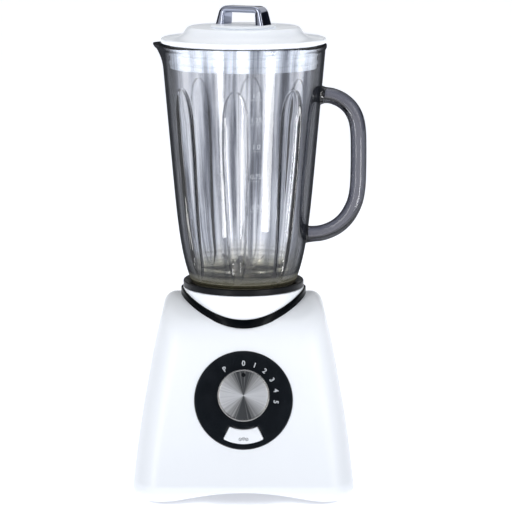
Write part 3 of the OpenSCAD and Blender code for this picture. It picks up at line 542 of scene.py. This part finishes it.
def base_cover():
    around, rows, fine = 384, 130, 300
    centre_r, centre_z, hole = 15.0, 80.0, COLLAR_R + 0.5
    angle = np.arange(around) * 2 * math.pi / around
    c, s = np.cos(angle), np.sin(angle)

    def even_at(value):
        return np.full(around, float(value))

    top = root(even_at(90), even_at(180), lambda z: shell_gap(hole * c, hole * s, z))
    widest = root(even_at(40), even_at(160), lambda r: shell_gap(r * c, r * s, even_at(14)))
    start = np.arctan2(top - centre_z, hole - centre_r)
    end = np.arctan2(-77.5, widest - 12 - centre_r)
    line = []
    for k in range(fine):
        a = start + (end - start) * k / (fine - 1)
        ca, sa = np.cos(a), np.sin(a)

        def gap(d):
            out = centre_r + d * ca
            return shell_gap(out * c, out * s, centre_z + d * sa)

        d = root(even_at(0), even_at(260), gap)
        line.append(np.stack([centre_r + d * ca, centre_z + d * sa], 1))
    line = np.array(line)
    steps = np.linalg.norm(np.diff(line, axis=0), axis=2)
    travel = np.concatenate([np.zeros((1, around)), np.cumsum(steps, 0)])
    out = np.zeros((rows + 3, around, 2))
    for j in range(around):
        even = np.linspace(0, travel[-1, j], rows)
        for q in (0, 1):
            out[1:rows + 1, j, q] = np.interp(even, travel[:, j], line[:, j, q])
    out[0] = out[1] - [0.0, 2.5]
    out[rows + 1] = out[rows] + [-0.4, 2.0]
    out[rows + 2] = out[rows] + [-0.4, 7.0]
    points = np.stack([out[..., 0] * c, out[..., 0] * s, out[..., 1]], -1).reshape(-1, 3)
    # seat of the control disc: the surface steps in behind it
    local = np.array(PANEL.inverted())
    near = points * MM @ local[:3, :3].T + local[:3, 3]
    seat_r, seat_depth = 38.5 * MM, 4.5
    under = (np.hypot(near[:, 0], near[:, 1]) < seat_r) & (points[:, 1] < 0)
    points[under] += np.array([0, math.cos(TILT), -math.sin(TILT)]) * seat_depth
    return build("base_cover", points, skin(rows + 3, around, flip=True), WHITE, "motor_base",
                 "body_shell", "white_gloss")


base_cover()

lathe("collar_cup", [(COLLAR_R, 139, 1), (COLLAR_R, COLLAR_Z, 1.1), (48.4, COLLAR_Z, 1.1),
                     (48.4, 141.7, 1.5), (13, 141.7, 0.4), (13, 138.7, 0.4)],
      WHITE, "motor_base", "collar", "white_gloss")


def trim_band():
    around = 256
    angle = np.arange(around) * 2 * math.pi / around
    y = np.sin(angle)
    out, within, sink = 53.4, COLLAR_R + 0.05, 0.4
    top_arch, top_r = 81.05, 52.5
    low = ARCH_Z + np.sqrt(ARCH_R ** 2 - (out * y) ** 2) - sink
    high = COLLAR_Z - sink - top_arch + np.sqrt(top_arch ** 2 - (top_r * y) ** 2)
    rows = [(within, low), (out, low), (out, high - 0.7),
            (out - 0.2, high - 0.25), (out - 0.65, high), (within, high)]
    points = [(r * math.cos(a), r * math.sin(a), z[i])
              for r, z in rows for i, a in enumerate(angle)]
    return build("collar_band", points, skin(len(rows), around, True, True), TRIM, "motor_base",
                 "collar_trim", "black_gloss")


trim_band()

# control disc with its button opening
DISC_R, BUTTON_IN, BUTTON_OUT, DIAL_UP = 41.2, 27.8, 36.4, 3.3


def button_outline(grow, corner):
    """Ring sector: outer arc about the disc centre, inner arc about the dial centre."""
    half = math.radians(27.5) + grow / 33
    r_out, r_in = BUTTON_OUT + grow, BUTTON_IN - grow

    def inner(a):
        """Distance from the disc centre to the inner arc at angle a from straight down."""
        return -DIAL_UP * math.cos(a) + math.sqrt(r_in ** 2 - (DIAL_UP * math.sin(a)) ** 2)

    n = 28
    out_arc = [(r_out * math.sin(a), -r_out * math.cos(a)) for a in np.linspace(-half, half, n)]
    in_arc = [(inner(a) * math.sin(a), -inner(a) * math.cos(a))
              for a in np.linspace(half, -half, n)]
    ring = [(*p, 0) for p in out_arc + in_arc]
    ends = (0, n - 1, n, 2 * n - 1)
    for k in ends:
        ring[k] = (ring[k][0], ring[k][1], corner)
    # corners are rounded over the neighbouring arc points
    kept = [p for i, p in enumerate(ring) if p[2] or not any(abs(i - k) == 1 for k in ends)]
    return softened(kept, 6)


def control_plate():
    """Disc pierced by the button opening: strips run from the opening's edge to the rim."""
    hole = button_outline(0.3, 1.7)
    n = len(hole)
    mid = Vector((0, -32.0))
    rim = []
    for x, y in hole:
        way = Vector((x, y)) - mid
        way.normalize()
        b = mid.dot(way)
        rim.append(mid + way * (-b + math.sqrt(b * b - mid.dot(mid) + DISC_R ** 2)))
    # even out the rim: many more points than the hole would give far from it
    order = np.unwrap([math.atan2(p.y, p.x) for p in rim])
    dense = 480
    hole_xy = np.array(hole)
    sense = 1 if order[-1] > order[0] else -1      # which way round the opening's outline runs
    full_turn = sense * 2 * math.pi
    t_rim = np.linspace(order[0], order[0] + full_turn, dense, endpoint=False)
    marks = np.append(order, order[0] + full_turn)
    frac = np.interp(sense * t_rim, sense * marks, np.arange(n + 1))
    closed = np.vstack([hole_xy, hole_xy[:1]])
    inner = np.stack([np.interp(frac, np.arange(n + 1), closed[:, q]) for q in (0, 1)], 1)
    outer = np.stack([DISC_R * np.cos(t_rim), DISC_R * np.sin(t_rim)], 1)

    def ring(flat, z):
        return np.c_[flat, np.full(dense, z)]

    top, edge, near = 0.9, 0.7, 0.01
    reach = outer * (1 - edge / DISC_R) - inner
    rows = [ring(inner, -2.2), ring(inner, top - 0.15), ring(inner + (outer - inner) * near, top)]
    rows += [ring(inner + reach * (near + (1 - near) * k / 11), top) for k in range(1, 12)]
    for k in range(1, 7):
        a = k / 6 * math.pi / 2
        r = DISC_R - edge + edge * math.sin(a)
        rows.append(ring(outer * r / DISC_R, top - edge + edge * math.cos(a)))
    rows.append(ring(outer, -1.4))
    faces = skin(len(rows), dense, flip=sense > 0)
    return build("control_plate", np.vstack(rows), faces, GLOSS, "motor_base", "control_disc",
                 "black_gloss", PANEL)


control_plate()
slab("ice_key", button_outline(0, 1.9), -1.6, 1.9, 0.7, WHITE, "button", "ice_button",
     "white_gloss", PANEL)


def ice_mark():
    """Three small ice cubes drawn with thin lines."""
    side, wide, z = 1.3, 0.3, 1.93
    points, faces = [], []
    for cx, cy in ((-2.7, -32.6), (0.0, -32.1), (2.7, -32.6)):
        turns = [math.radians(a) for a in range(30, 390, 60)]
        corner = [Vector((cx + side * math.cos(a), cy + side * math.sin(a))) for a in turns]
        middle = Vector((cx, cy))
        lines = [(corner[i], corner[(i + 1) % 6]) for i in range(6)]
        lines += [(middle, corner[i]) for i in (0, 2, 4)]
        for a, b in lines:
            d = (b - a).normalized()
            n = Vector((-d.y, d.x)) * wide / 2
            base = len(points)
            for p in (a - n, b - n, b + n, a + n):
                points.append((p.x, p.y, z))
            faces.append((base, base + 1, base + 2, base + 3))
    return build("ice_mark", points, faces, INK, "button", slot="black_satin", place=PANEL)


ice_mark()

DIAL_AT = PANEL @ Matrix.Translation(Vector((0, DIAL_UP, 1.5)) * MM)
DIAL_R, DIAL_H = 21.5, 14.0
lathe("dial_cup", [(DIAL_R - 0.3, 0, 0.3), (DIAL_R, 0.6, 0.4), (DIAL_R - 0.1, DIAL_H, 0.7),
                   (DIAL_R - 1.1, DIAL_H, 0.35), (DIAL_R - 1.3, DIAL_H - 0.5, 0.2),
                   (DIAL_R - 1.35, DIAL_H - 0.9, 0), (DIAL_R - 2.3, DIAL_H - 1.5, 0),
                   (DIAL_R - 2.3, 0, 0)],
      metal("turned_dial_rim", "#A8A6A3", "#D2D0CD", 0.2, 0.4, (1, 1, 8)),
      "dial", "dial_body", "steel", place=DIAL_AT)
lathe("dial_plate", [(0, DIAL_H - 0.55, 0), (DIAL_R - 1.6, DIAL_H - 0.55, 0.2),
                     (DIAL_R - 1.4, DIAL_H - 0.75, 0), (DIAL_R - 1.4, DIAL_H - 1.6, 0)],
      SPUN, "dial", "dial_face", "brushed", closed=False, place=DIAL_AT)
DOT = DIAL_AT @ Matrix.Translation(Vector((0, 17.0, 0)) * MM)
lathe("dial_dot", [(0, DIAL_H - 0.45, 0), (1.55, DIAL_H - 0.45, 0.1), (1.75, DIAL_H - 0.55, 0.1),
                   (1.75, DIAL_H - 1.0, 0)],
      SATIN, "dial", "dial_mark", "black_satin", 48, False, DOT)

LABEL_R, LABEL_SIZE, LABEL_OUT = 27.3, 4.1, 0.93
for mark, degrees in (("P", -35), ("0", 0), ("1", 20), ("2", 40), ("3", 60), ("4", 80), ("5", 100)):
    a = math.radians(degrees)
    at = (LABEL_R * math.sin(a), DIAL_UP + LABEL_R * math.cos(a), LABEL_OUT)
    flat_text(mark, LABEL_SIZE, at, -a, "mark_" + mark, PRINT, "motor_base", "silicone", PANEL)

# ---------------------------------------------------------------- jar
JAR_TURN = math.radians(-6)
FOOT_Z, LINE_Z, RIM_Z = 175.5, 372.6, 378.5
LIP_Z = 357.0                      # the pouring lip starts to lean out here
WALL = 4.5
FLUTE_OUT, FLUTE_IN = 3.3, 2.4     # depth of a flute outside and inside
BOWL_Z, BOWL_DROP, NECK_R = 192.0, 13.5, 30.0


def wall_r(z):
    t = np.maximum((LINE_Z - z) / (LINE_Z - FOOT_Z), 0)
    return 69 - 17 * t - 7.4 * t ** 8.4


def flute(angle, z):
    """Depth (0 on the plain wall, 1 along the middle of a flute) and outline of the flutes, used
    for painted shade lines on the glass.

    They stand an eighth of a turn apart, but for the plain handle and spout, and end in arches.
    """
    pitch = math.pi / 4
    k = np.round(angle / pitch)
    off = np.abs(angle - k * pitch) * wall_r(z)
    plain = np.mod(k, 4) == 0
    top, spring, low = 344.0, 316.0, 178.0
    half = np.where(z < spring, 5.0 + 5.2 * np.clip((z - low) / 110, 0, 1) ** 0.8, 10.2)
    arch = np.clip((top - z) / (top - spring), 0, 1)
    half = np.where(z > spring, 10.2 * np.sqrt(1 - (1 - arch) ** 2.2), half)
    half = half * np.clip((z - low) / 16, 0, 1) ** 0.5
    w = np.clip(off / np.maximum(half, 1e-3), 0, 1)
    depth = np.clip((z - low) / 22, 0, 1) * np.clip((top - z) / 30, 0, 1) ** 0.75
    hollow = np.where(plain, 0.0, (1 - w ** 3.6) ** 1.1 * depth)
    outline = np.where(plain | (z > top) | (z < low + 4), 0.0, np.exp(-((off - half) / 0.9) ** 2))
    return hollow, outline


def lip(angle, z):
    """Pouring lip, opposite the handle."""
    off = np.mod(angle, 2 * math.pi) - math.pi
    rise = np.clip((z - LIP_Z) / (RIM_Z - LIP_Z), 0, 1)
    return 7.4 * np.exp(-(off / 0.17) ** 2) * rise ** 1.7


def glass_jar():
    around = 480
    angle = np.arange(around) * 2 * math.pi / around
    out_z = np.concatenate([[159, 159.6, 166, 171.5], [173.2], np.linspace(174.2, 372, 236),
                            [373.2]])
    rows = []
    for i, z in enumerate(out_z):
        zz = np.full(around, z)
        if z < 172:
            r = np.full(around, 36.5)
        elif z < 174:
            r = np.full(around, 38.2)
        else:
            r = wall_r(zz) - FLUTE_OUT * flute(angle, zz)[0] + lip(angle, zz)
            r -= 1.2 * np.clip((177 - z) / 3, 0, 1) ** 2
        rows.append((r, zz))
    bead = ((0.6, 374.0), (1.1, 375.0), (1.3, 376.4), (1.0, 377.7), (0.2, 378.4),
            (-1.2, 378.6), (-2.6, 378.3), (-3.6, 377.3), (-4.1, 376.0))
    for r_off, z in bead:
        zz = np.full(around, min(z, RIM_Z))
        rows.append((wall_r(zz) + r_off + lip(angle, zz), zz))
    for z in np.linspace(374.5, BOWL_Z, 214):
        zz = np.full(around, z)
        rows.append((wall_r(zz) - WALL - FLUTE_IN * flute(angle, zz)[0] + lip(angle, zz), zz))
    inner = float(wall_r(np.array(BOWL_Z))) - WALL
    for k in range(1, 15):
        a = k / 14 * math.pi / 2
        zz = np.full(around, BOWL_Z - BOWL_DROP * math.sin(a))
        fade = (1 - k / 14) ** 2
        r = NECK_R + (inner - NECK_R) * math.cos(a) ** 0.8
        rows.append((r - FLUTE_IN * flute(angle, zz)[0] * fade, zz))
    for r, z in ((29.2, 178.0), (28.5, 177.2), (28.1, 176), (28, 160), (28, 159.0)):
        rows.append((np.full(around, r), np.full(around, z)))
    turned = angle + JAR_TURN
    rings = [np.stack([r * np.cos(turned), r * np.sin(turned), z], 1) for r, z in rows]
    points = np.concatenate(rings)
    o = build("glass_jar", points, skin(len(rows), around, True, True), GLASS, "jar", "jar_glass",
              "clear_glass", sharp=55)
    blank = np.zeros(around)
    # the flute outline, stored for the painted shade lines of the glass
    lines = [flute(angle, z)[1] if i < len(out_z) else blank for i, (r, z) in enumerate(rows)]
    drawn = o.data.attributes.new("painted_flute_shade", "FLOAT", "POINT")
    drawn.data.foreach_set("value", np.concatenate(lines).astype(np.float32))
    return o


glass_jar()


def bow(points, steps):
    """Smooth curve through points (Catmull-Rom)."""
    p = [Vector(q) for q in points]
    p = [2 * p[0] - p[1], *p, 2 * p[-1] - p[-2]]
    out = []
    for a, b, c, d in zip(p, p[1:], p[2:], p[3:]):
        for k in range(steps):
            t = k / steps
            square, cube = 2 * a - 5 * b + 4 * c - d, 3 * b - a - 3 * c + d
            out.append(0.5 * ((2 * b) + (c - a) * t + square * t * t + cube * t ** 3))
    return out + [p[-2]]


def glass_handle():
    reach = 97.6
    line = [(64.5, 0, 335.4), (70, 0, 335.2), (76, 0, 334.3), (84, 0, 330.6), (91, 0, 324),
            (95.4, 0, 315), (97.2, 0, 304), (reach, 0, 290), (reach, 0, 272), (97.0, 0, 257),
            (94.5, 0, 244), (88, 0, 231.5), (79, 0, 223), (68, 0, 218), (58, 0, 216.6),
            (51.6, 0, 216.4)]
    path = bow(line, 7)
    n = len(path)
    radii = []
    for i, p in enumerate(path):
        flare = max(0.0, 1 - i / 9) ** 2 * 2.2 + max(0.0, 1 - (n - 1 - i) / 10) ** 2 * 1.6
        radii.append(6.75 + flare)
    path = [Matrix.Rotation(JAR_TURN, 3, "Z") @ p for p in path]
    return tube("glass_handle", path, radii, ROD, "jar", node="jar_handle", slot="clear_glass",
                sharp=70)


glass_handle()


def on_jar(x, y, z):
    """Wraps flat artwork, drawn across (x) and up (y), on the front of the jar."""
    r = float(wall_r(np.array(y))) + 0.06 + z
    a = x / r - math.pi / 2
    return (r * math.cos(a), r * math.sin(a), y)


# figure, height of its middle, length of its rule
LITRES = (("1.5", 341, 15), ("1.25", 320.4, 9), ("1.0", 298, 12), ("0.75", 273, 9),
          ("0.5", 247.3, 12))


def scale_lines():
    """Litre lines: short rules between the flutes at the front."""
    points, faces = [], []
    left, half_line, below_figure, n = 4.2, 0.3, 3.6, 10
    for _, z, length in LITRES:
        base = len(points)
        for k in range(n + 1):
            for dz in (-half_line, half_line):
                points.append(on_jar(left + length * k / n, z + dz - below_figure, 0))
        for k in range(n):
            a = base + 2 * k
            faces.append((a, a + 2, a + 3, a + 1))
    return build("scale_lines", points, faces, FROST, "jar", slot="silicone")


scale_lines()
for words, z, _ in LITRES:
    flat_text(words, 4.0, (10.5, z, 0), 0, "litre_" + words.replace(".", "_"),
              FROST, "jar", "silicone", None, 0.02, on_jar)

lathe("jar_foot", [(26, 142, 1), (47.9, 142, 1.2), (47.9, 171.3, 0.3), (51.4, 171.3, 0.7),
                   (51.4, 176.4, 0.8), (50.0, 176.6, 0.6), (48.6, 176.2, 0.8), (38.3, 172.2, 0.5),
                   (37.0, 171.6, 0), (36.6, 159.2, 0), (34.1, 158.6, 0), (34.1, 154, 0),
                   (26, 154, 0.5)],
      SATIN, "jar", "jar_base", "black_satin")

lathe("blade_hub", [(6, 154, 0), (33.9, 154, 0.4), (33.9, 157, 0.6), (27, 157.2, 1.5), (25, 160, 3),
                    (15, 170, 4), (9.6, 176, 2.5), (9, 183.4, 0.8), (7.6, 184, 0.4), (6, 184, 0.2)],
      STEEL, "jar", "blade_holder", "steel")


def blade_pair(name, reach, bend, start, turn, level, node):
    """Two arms from one strip: bent up or down, tapered, ground to an edge on the leading side."""
    long_n, wide_n, thick = 40, 12, 1.6
    points, faces = [], []
    for half in (0, math.pi):
        base = len(points)
        for face in (1, 0):
            for i in range(long_n + 1):
                s = reach * i / long_n
                over = max(0.0, s - start)
                ease = min(1.0, over / 4)
                slope = math.radians(bend)
                past = max(0.0, over - 1)
                run = s if over <= 0 else start + over - ease * ease + (math.cos(slope) - 1) * past
                lift = math.sin(slope) * past
                if over > 0:
                    lift += 0.5 * math.sin(slope) * min(over, 2) ** 2 / 4
                u = max(0.0, (s - start) / (reach - start))
                lead, trail = 6.5 - 4.0 * u ** 1.2, -6.5 + 3.6 * u + 1.6 * u ** 4
                for j in range(wide_n + 1):
                    v = j / wide_n
                    w = trail + (lead - trail) * v
                    ground = min(1.0, (1 - v) / 0.35 + 0.12) if s > start * 0.6 else 1.0
                    z = lift + (thick * ground if face else 0.0)
                    c, q = math.cos(turn + half), math.sin(turn + half)
                    points.append((run * c - w * q, run * q + w * c, level + z))
        rows, cols = long_n + 1, wide_n + 1
        size = rows * cols
        for i in range(long_n):
            for j in range(wide_n):
                a = base + i * cols + j
                faces.append((a, a + cols, a + cols + 1, a + 1))
                b = a + size
                faces.append((b, b + 1, b + cols + 1, b + cols))
        last = (rows - 1) * cols
        rim = [i * cols for i in range(rows)] + [last + j for j in range(1, cols)]
        rim += [i * cols + cols - 1 for i in range(rows - 2, -1, -1)]
        for a, b in zip(rim, rim[1:]):
            faces.append((base + a, base + a + size, base + b + size, base + b)[::-1])
    return build(name, points, faces, STEEL, "blades", node, "steel", sharp=25)


blade_pair("low_blades", 27.8, -8, 9, math.radians(70), 186.1, "lower_blade")
blade_pair("high_blades", 22.5, 42, 8, math.radians(-8), 187.7, "upper_blade")
lathe("blade_collars", [(4, 184.4, 0), (6.9, 184.4, 0.3), (6.9, 186, 0.2), (4, 186, 0)], STEEL,
      "blades", "blade_washer", "steel", 64)


def cap_nut():
    """Domed hexagon nut on top of the blade shaft."""
    around, rows = 96, []
    for r, z, hexed in ((3.9, 190.2, 0), (6.0, 190.2, 1), (6.0, 193.6, 1), (5.4, 194.2, 0.4),
                        (4.9, 194.3, 0), (4.4, 195.8, 0), (3.2, 196.9, 0), (1.6, 197.3, 0),
                        (0.01, 197.4, 0)):
        for k in range(around):
            a = 2 * math.pi * k / around
            flat = math.cos(math.pi / 6) / math.cos((a % (math.pi / 3)) - math.pi / 6)
            f = 1 + (flat - 1) * hexed
            rows.append((r * f * math.cos(a), r * f * math.sin(a), z))
    return build("cap_nut", rows, skin(9, around), STEEL, "blades", "blade_nut", "steel")


cap_nut()

# ---------------------------------------------------------------- lid and filler cap
lathe("lid_shell", [(24, 386.3, 0.3), (26.5, 386.3, 0.5), (27, 388.6, 1), (43.5, 388.8, 2),
                    (50, 382, 3), (57.5, 378, 3), (59.2, 372, 2), (59.2, 358.6, 0.6),
                    (62, 358.6, 0.9), (62, 378.6, 0.4), (63, 379.0, 0.2), (69.3, 379.0, 0.6),
                    (70, 380.4, 1.2), (69.5, 383.0, 1.3), (67.6, 383.3, 1.2), (65.2, 382.6, 2),
                    (61, 382.3, 4), (56, 383.4, 5), (51.4, 386.2, 5), (48.6, 390.6, 3),
                    (46.6, 392.4, 1.5), (44.6, 392.6, 1.0), (42.0, 391.9, 2), (25.6, 391.6, 0.8),
                    (24, 391.0, 0.6)],
      LID_WHITE, "lid", "lid", "white_gloss", around=256, sharp=50)

lathe("cap_cup", [(0, 394.3, 0), (26.6, 394.3, 0.7), (27.5, 393.4, 0.7), (27.4, 392.3, 0.4),
                  (23.7, 392.2, 0.3), (23.4, 362.4, 0.6), (21.6, 362.2, 0.5), (21.8, 390.6, 1.5),
                  (0, 391.0, 0)],
      CAP_WHITE, "cap", "filler_cap", "white_gloss", closed=False, sharp=40)


def bridge_handle():
    """Chrome strap bent into a bridge, its legs splayed, its edges rounded."""
    low, top, half_low, half_top, corner = 394.2, 409.9, 23.2, 19.2, 6.8
    depth_low, depth_top = 8.4, 7.2
    line = softened([(-half_low, low, 0), (-half_top, top, corner), (half_top, top, corner),
                     (half_low, low, 0)], 14, False)
    path = [Vector((x, 0, z)) for x, z in line]
    full = []
    for a, b in zip(path, path[1:]):
        steps = max(1, int((b - a).length / 1.2))
        full += [a + (b - a) * k / steps for k in range(steps)]
    full.append(path[-1])
    points, n = [], len(full)
    turn = Matrix.Rotation(math.radians(-30), 3, "Z")
    for i, p in enumerate(full):
        along = (full[min(i + 1, n - 1)] - full[max(i - 1, 0)]).normalized()
        inward = Vector((along.z, 0, -along.x))
        share = (p.z - low) / (top - low)
        half = depth_low + (depth_top - depth_low) * share
        thick = 8.0 - 2.4 * share
        section = softened([(-half, 0, 2.6), (half, 0, 2.6), (half, thick, 2.6),
                            (-half, thick, 2.6)], 7)
        for y, t in section:
            points.append(tuple(turn @ (p + inward * t + Vector((0, y, 0)))))
    m = len(section)
    faces = skin(n, m, flip=True) + [tuple(range(m)), tuple(range((n - 1) * m, n * m))[::-1]]
    return build("bridge_handle", points, faces, CHROME, "cap", "cap_handle", "chrome", sharp=40)


bridge_handle()

# ---------------------------------------------------------------- studio
FLOOR = finish("lit_white_table", "#F6F7F8", 0.7, Emission_Color=rgb("#F3F6FF"),
               Emission_Strength=0.6)
vary(FLOOR[1], FLOOR[2], FLOOR[3], 40, 0.65, 0.75)
half = 12.0
mesh = bpy.data.meshes.new("floor")
corners = [(-half, -half, 0), (half, -half, 0), (half, half, 0), (-half, half, 0)]
mesh.from_pydata(corners, [], [(0, 1, 2, 3)])
mesh.materials.append(FLOOR[0])
floor = bpy.data.objects.new("floor", mesh)
scene.collection.objects.link(floor)

world = bpy.data.worlds.new("studio")
scene.world = world
world.use_nodes = True
sky = world.node_tree
way = add(sky, "ShaderNodeSeparateXYZ", i0=add(sky, "ShaderNodeTexCoord").outputs["Generated"])

# in front: a dark room low down, bright above, with soft boxes left and right;
# behind: a lit wall with a dark rail; dark flags at both sides
aside = add(sky, "ShaderNodeMath", {"operation": "ABSOLUTE"}, i0=way.outputs["X"])
low_front = ramp(sky, aside.outputs[0], [(0.0, "#565B66"), (1.0, "#30343C"), (0.2, "#5E636E"),
                                         (0.34, "#FFFFFF"), (0.84, "#FFFFFF"), (0.94, "#3A3E46")])
high_front = ramp(sky, aside.outputs[0], [(0.0, "#C4C8D0"), (1.0, "#A8ACB4")])
lifted = ramp(sky, way.outputs["Z"], [(0.42, "#000000"), (0.56, "#FFFFFF")])
front = add(sky, "ShaderNodeMix", {"data_type": "RGBA"}, i0=lifted, i6=low_front,
            i7=high_front).outputs[2]
wall = ramp(sky, aside.outputs[0], [(0.0, "#FFFFFF"), (1.0, "#22252B"), (0.8, "#FFFFFF"),
                                    (0.93, "#454A52")])
rail = ramp(sky, way.outputs["Z"], [(0.1, "#FFFFFF"), (0.38, "#FFFFFF"), (0.14, "#262A36"),
                                    (0.3, "#262A36")])
rear = times(sky, wall, rail)
behind = ramp(sky, way.outputs["Y"], [(0.05, "#000000"), (0.45, "#FFFFFF")])
both = add(sky, "ShaderNodeMix", {"data_type": "RGBA"}, i0=behind, i6=front, i7=rear)
sky.links.new(both.outputs[2], sky.nodes["Background"].inputs[0])
sky.nodes["Background"].inputs[1].default_value = 0.78


def soft_light(name, at, look, width, height, watts, spread=180):
    lamp = bpy.data.lights.new(name, "AREA")
    lamp.shape, lamp.size, lamp.size_y, lamp.energy = "RECTANGLE", width, height, watts
    lamp.spread = math.radians(spread)
    o = bpy.data.objects.new(name, lamp)
    o.location = at
    o.rotation_euler = (Vector(look) - Vector(at)).to_track_quat("-Z", "Y").to_euler()
    scene.collection.objects.link(o)


soft_light("left_bank", (-1.2, -1.5, 0.95), (0, 0, 0.2), 0.5, 1.4, 7.5)
soft_light("right_bank", (1.3, -1.3, 0.85), (0, 0, 0.2), 0.3, 1.4, 4.2)
# low strips by the front corners: the jar leans outward, so it mirrors what stands low
soft_light("left_strip", (-0.29, -0.47, 0.13), (0, 0, 0.35), 0.08, 0.24, 0.07, 60)
soft_light("right_strip", (0.37, -0.47, 0.13), (0, 0, 0.35), 0.12, 0.24, 0.12, 60)
soft_light("overhead", (0, 0.2, 2.0), (0, 0, 0.2), 1.4, 1.4, 6)
